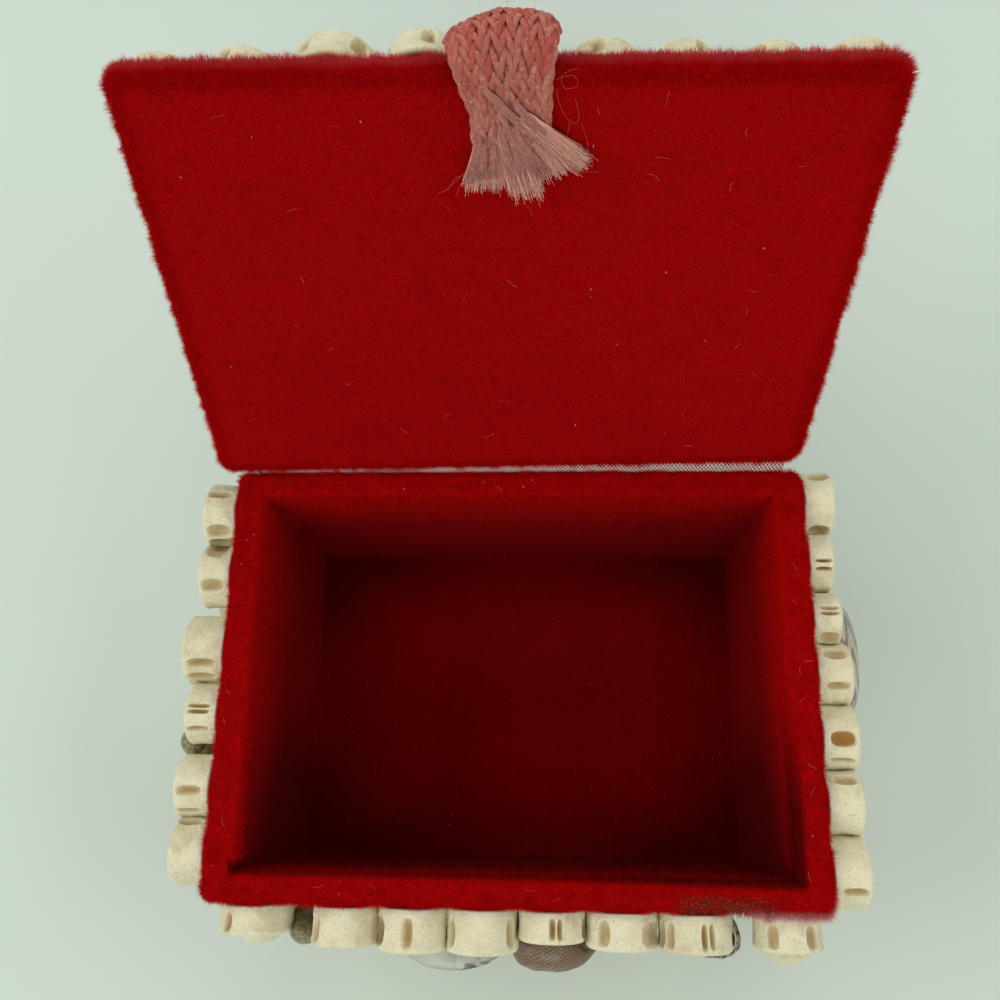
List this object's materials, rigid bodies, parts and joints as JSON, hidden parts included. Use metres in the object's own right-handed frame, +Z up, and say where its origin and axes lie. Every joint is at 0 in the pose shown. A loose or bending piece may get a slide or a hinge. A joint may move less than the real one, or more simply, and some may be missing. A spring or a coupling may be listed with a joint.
{
  "type": "hinged shell trinket box",
  "caption": "Velvet-lined trinket box with a cloth-hinged lid, open, its sides and lid set with shark vertebrae and sea shells.",
  "frame": {"origin": "centre of the flat underside, in the plane that the box stands on", "axes": "+Z up, +Y towards the hinge at the back, +X to the right of someone facing the open box"},
  "size_m": [0.1561, 0.1599, 0.1491],
  "materials": {
    "card": "paper-covered card",
    "velvet": "short-pile flocked velvet",
    "vertebra": "dry porous bone",
    "gauze": "open plain-weave tape",
    "braid": "flat herringbone braid, frayed",
    "cream_shell": "satin ribbed shell",
    "grey_shell": "smooth glossy shell",
    "brown_shell": "ribbed satin shell",
    "banded_shell": "smooth shell with zigzag bands"
  },
  "bodies": {
    "box": {"vertebra_front_1": "vertebra", "vertebra_front_2": "vertebra", "vertebra_front_3": "vertebra", "vertebra_front_4": "vertebra", "vertebra_front_5": "vertebra", "vertebra_front_6": "vertebra", "vertebra_front_7": "vertebra", "vertebra_front_8": "vertebra", "vertebra_right_1": "vertebra", "vertebra_right_2": "vertebra", "vertebra_right_3": "vertebra", "vertebra_right_4": "vertebra", "vertebra_right_5": "vertebra", "vertebra_right_6": "vertebra", "vertebra_right_7": "vertebra", "vertebra_left_1": "vertebra", "vertebra_left_2": "vertebra", "vertebra_left_3": "vertebra", "vertebra_left_4": "vertebra", "vertebra_left_5": "vertebra", "vertebra_left_6": "vertebra", "vertebra_corner_left": "vertebra", "vertebra_corner_right": "vertebra", "box_carcass": "card", "velvet_lining": "velvet", "hinge_tape": "gauze", "front_moon_snail": "grey_shell", "front_bubble_shell": "grey_shell", "front_ribbed_whelk": "brown_shell", "front_white_cockle": "cream_shell", "front_brown_valve": "brown_shell", "front_scallop_left": "cream_shell", "front_scallop_right": "cream_shell", "right_banded_turban": "banded_shell", "right_cockle_front": "cream_shell", "right_cockle_back": "cream_shell", "left_moon_snail": "grey_shell", "left_ribbed_whelk": "brown_shell", "left_cockle": "cream_shell", "back_scallop_left": "cream_shell", "back_scallop_middle": "cream_shell", "back_scallop_right": "cream_shell"},
    "lid": {"lid_board": "card", "lid_velvet": "velvet", "pull_tab": "braid", "vertebra_lid_1": "vertebra", "vertebra_lid_2": "vertebra", "vertebra_lid_3": "vertebra", "vertebra_lid_4": "vertebra", "vertebra_lid_5": "vertebra", "vertebra_lid_6": "vertebra", "vertebra_lid_7": "vertebra", "vertebra_lid_8": "vertebra", "vertebra_lid_9": "vertebra", "lid_scallop": "cream_shell", "lid_whelk_left": "brown_shell", "lid_tulip_right": "banded_shell", "lid_cockle_left": "cream_shell", "lid_cockle_right": "cream_shell", "lid_olive": "grey_shell"}
  },
  "joints": [
    {"name": "lid_hinge", "type": "hinge", "parent": "box", "child": "lid", "pos_m": [0, 0.0464, 0.0646], "axis": [1, 0, 0], "range_deg": [0, 115.7]}
  ]
}
